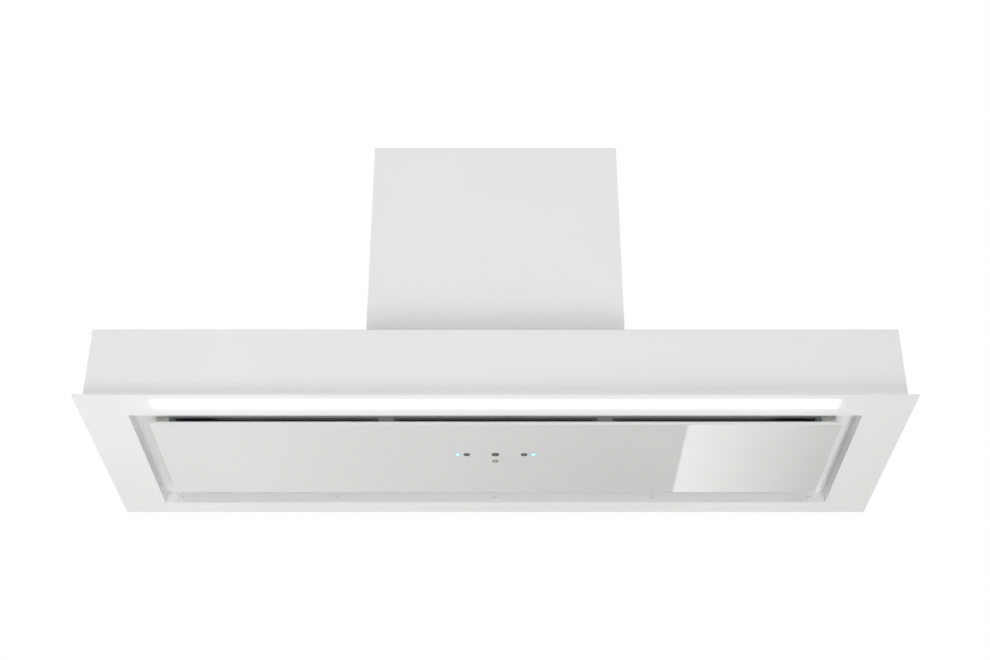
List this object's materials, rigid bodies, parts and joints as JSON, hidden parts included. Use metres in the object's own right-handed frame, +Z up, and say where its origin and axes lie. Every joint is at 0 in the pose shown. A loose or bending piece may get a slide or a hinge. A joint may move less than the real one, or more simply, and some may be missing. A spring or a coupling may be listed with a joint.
{
  "type": "built-in range hood",
  "caption": "White range hood for the underside of a cabinet, with a hinged glass panel, edge slots for the air, a light in front, filters and a blower box above.",
  "frame": {"origin": "centre of the cabinet cut-out, on the upper face of the flange's hem, which bears against the cabinet's underside", "axes": "+X to the right as the cook sees it, +Y to the rear wall, +Z up; the well and the light face down"},
  "size_m": [0.9, 0.3, 0.3816],
  "materials": {
    "white_powder_coat": "satin white powder coat on folded steel sheet",
    "white_screw": "white lacquered pan head screw",
    "galvanised_steel": "bright galvanised steel sheet, mill finish",
    "zinc_screw": "zinc plated pan head screw",
    "zinc_steel": "zinc plated steel",
    "ferrite_magnet": "plastic housed catch magnet",
    "back_painted_glass": "toughened glass, white enamel behind, polished edges",
    "cyan_light": "clear lens over a cyan status light",
    "dark_window": "smoked lens over an infrared sensor",
    "pale_window": "pale translucent lens",
    "black_plastic": "moulded black ABS",
    "opal_diffuser": "opal acrylic light diffuser, lit from behind",
    "anodised_aluminium": "natural anodised aluminium",
    "aluminium_mesh": "layers of expanded aluminium mesh",
    "white_circuit_board": "white solder mask on an aluminium board",
    "light_point": "light emitting diode package",
    "dark_plastic": "moulded dark grey polypropylene",
    "grey_plastic": "moulded grey flame retardant plastic",
    "capacitor_plastic": "white plastic capacitor can",
    "impeller_plastic": "moulded glass filled nylon",
    "motor_steel": "dark lacquered pressed steel",
    "black_rubber": "moulded rubber"
  },
  "bodies": {
    "hood": {"blower_hangers": "galvanised_steel", "body_shell": "white_powder_coat", "body_side_left": "white_powder_coat", "body_side_right": "white_powder_coat", "cable_gland": "dark_plastic", "capacitor_clip": "galvanised_steel", "casing_screws": "zinc_screw", "catch_magnets": "ferrite_magnet", "electronics_box": "grey_plastic", "electronics_lid": "grey_plastic", "fan_motor": "motor_steel", "filter_frame_centre": "anodised_aluminium", "filter_frame_left": "anodised_aluminium", "filter_frame_right": "anodised_aluminium", "filter_mesh_centre": "aluminium_mesh", "filter_mesh_left": "aluminium_mesh", "filter_mesh_right": "aluminium_mesh", "fixing_rail_front": "galvanised_steel", "fixing_rail_left": "galvanised_steel", "fixing_rail_rear": "galvanised_steel", "fixing_rail_right": "galvanised_steel", "flange_frame": "white_powder_coat", "flap_spindle": "zinc_steel", "hinge_brackets": "galvanised_steel", "hinge_pins": "zinc_steel", "light_board": "white_circuit_board", "light_channel": "anodised_aluminium", "light_diffuser": "opal_diffuser", "light_points": "light_point", "motor_box_shell": "white_powder_coat", "motor_box_side_left": "white_powder_coat", "motor_box_side_right": "white_powder_coat", "motor_bushes": "black_rubber", "motor_screws": "zinc_screw", "motor_spider": "galvanised_steel", "outlet_adapter": "dark_plastic", "outlet_collar": "dark_plastic", "run_capacitor": "capacitor_plastic", "scroll_left": "galvanised_steel", "scroll_right": "galvanised_steel", "well_floor": "white_powder_coat", "well_screws": "white_screw"},
    "panel": {"glass_panel": "back_painted_glass", "panel_backing": "galvanised_steel", "hinge_leaves": "galvanised_steel", "catch_strikes": "zinc_steel", "module_housing": "black_plastic", "module_cover": "black_plastic", "status_lights": "cyan_light", "side_eyes": "dark_window", "main_eye": "dark_window", "pale_window": "pale_window"},
    "latch_left": {"filter_latch_left": "dark_plastic"},
    "latch_centre": {"filter_latch_centre": "dark_plastic"},
    "latch_right": {"filter_latch_right": "dark_plastic"},
    "front_flap": {"flap_front": "anodised_aluminium"},
    "rear_flap": {"flap_rear": "anodised_aluminium"},
    "fan_wheel": {"impeller": "impeller_plastic", "motor_shaft": "zinc_steel"}
  },
  "joints": [
    {"name": "panel_hinge", "type": "hinge", "parent": "hood", "child": "panel", "pos_m": [0, 0.09145, 0.0076], "axis": [1, 0, 0], "range_deg": [0, 85]},
    {"name": "latch_left_slide", "type": "slide", "parent": "hood", "child": "latch_left", "axis": [0, -1, 0], "range_m": [0, 0.005], "stiffness_N_per_m": 600, "springref_m": -0.005},
    {"name": "latch_centre_slide", "type": "slide", "parent": "hood", "child": "latch_centre", "axis": [0, -1, 0], "range_m": [0, 0.005], "stiffness_N_per_m": 600, "springref_m": -0.005},
    {"name": "latch_right_slide", "type": "slide", "parent": "hood", "child": "latch_right", "axis": [0, -1, 0], "range_m": [0, 0.005], "stiffness_N_per_m": 600, "springref_m": -0.005},
    {"name": "front_flap_hinge", "type": "hinge", "parent": "hood", "child": "front_flap", "pos_m": [0, 0.04, 0.3502], "axis": [-1, 0, 0], "range_deg": [0, 78]},
    {"name": "rear_flap_hinge", "type": "hinge", "parent": "hood", "child": "rear_flap", "pos_m": [0, 0.04, 0.3502], "axis": [1, 0, 0], "range_deg": [0, 78]},
    {"name": "fan_spin", "type": "hinge", "parent": "hood", "child": "fan_wheel", "pos_m": [0, -0.022, 0.205], "axis": [1, 0, 0], "continuous": true}
  ]
}
